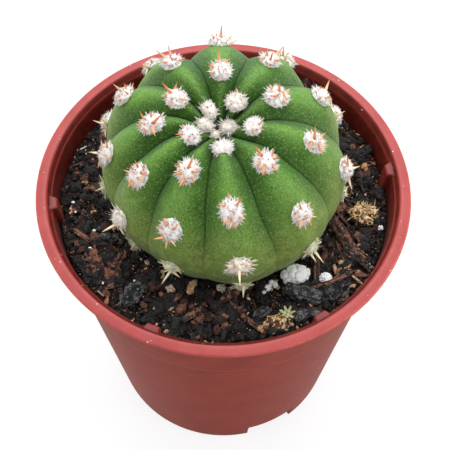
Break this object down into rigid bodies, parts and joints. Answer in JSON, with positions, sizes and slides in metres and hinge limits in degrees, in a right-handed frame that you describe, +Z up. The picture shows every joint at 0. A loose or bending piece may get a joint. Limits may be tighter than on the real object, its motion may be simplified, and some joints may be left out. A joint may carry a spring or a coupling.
{
  "type": "potted globular cactus",
  "caption": "Ribbed globe cactus with woolly spined areoles, rooted in bark-flecked soil in a tapered plastic nursery pot.",
  "frame": {"origin": "centre of the foot ring, on the surface the pot stands on", "axes": "+Z up through the middle of the pot; the plant leans slightly to -Y, the front"},
  "size_m": [0.105, 0.105, 0.1367],
  "materials": {
    "pot_plastic": "moulded terracotta-red plastic, satin, with scuffs and dust",
    "soil": "dark crumbly peat mix",
    "skin": "waxy green skin with fine pale specks",
    "wool": "dense white wool",
    "old_wool": "thin straw-coloured wool",
    "spine": "smooth orange-brown spines with darker tips",
    "perlite": "porous white grains",
    "bark": "rough fibrous bark",
    "charcoal": "charred dark grey bark",
    "straw": "dry straw-coloured wood and leaf bits",
    "moss": "dry curled moss",
    "pebble": "small dull pebble"
  },
  "bodies": {
    "root": {"areole_01_1": "wool", "areole_01_2": "wool", "areole_01_3": "wool", "areole_01_4": "old_wool", "areole_02_1": "wool", "areole_02_2": "wool", "areole_02_3": "old_wool", "areole_03_1": "wool", "areole_03_2": "wool", "areole_03_3": "wool", "areole_03_4": "old_wool", "areole_04_1": "wool", "areole_04_2": "wool", "areole_04_3": "wool", "areole_05_1": "wool", "areole_05_2": "wool", "areole_05_3": "wool", "areole_05_4": "old_wool", "areole_06_1": "wool", "areole_06_2": "wool", "areole_06_3": "wool", "areole_07_1": "wool", "areole_07_2": "wool", "areole_07_3": "wool", "areole_07_4": "old_wool", "areole_08_1": "wool", "areole_08_2": "wool", "areole_08_3": "wool", "areole_09_1": "wool", "areole_09_2": "wool", "areole_09_3": "old_wool", "areole_10_1": "wool", "areole_10_2": "wool", "areole_10_3": "wool", "areole_10_4": "old_wool", "areole_11_1": "wool", "areole_11_2": "wool", "areole_11_3": "old_wool", "bark_left": "bark", "bark_sliver": "bark", "bark_standing": "bark", "bark_strip": "bark", "cactus_body": "skin", "charred_chip": "charcoal", "crown_tuft_left": "wool", "crown_tuft_right": "wool", "leaf_litter": "straw", "moss_clump": "moss", "pebble_left": "pebble", "perlite_cluster": "perlite", "perlite_grain": "perlite", "perlite_large": "perlite", "perlite_small": "perlite", "pot": "pot_plastic", "soil": "soil", "twig_front": "bark", "twig_right": "bark", "twig_upright": "bark", "wood_chip": "straw"}
  },
  "joints": []
}
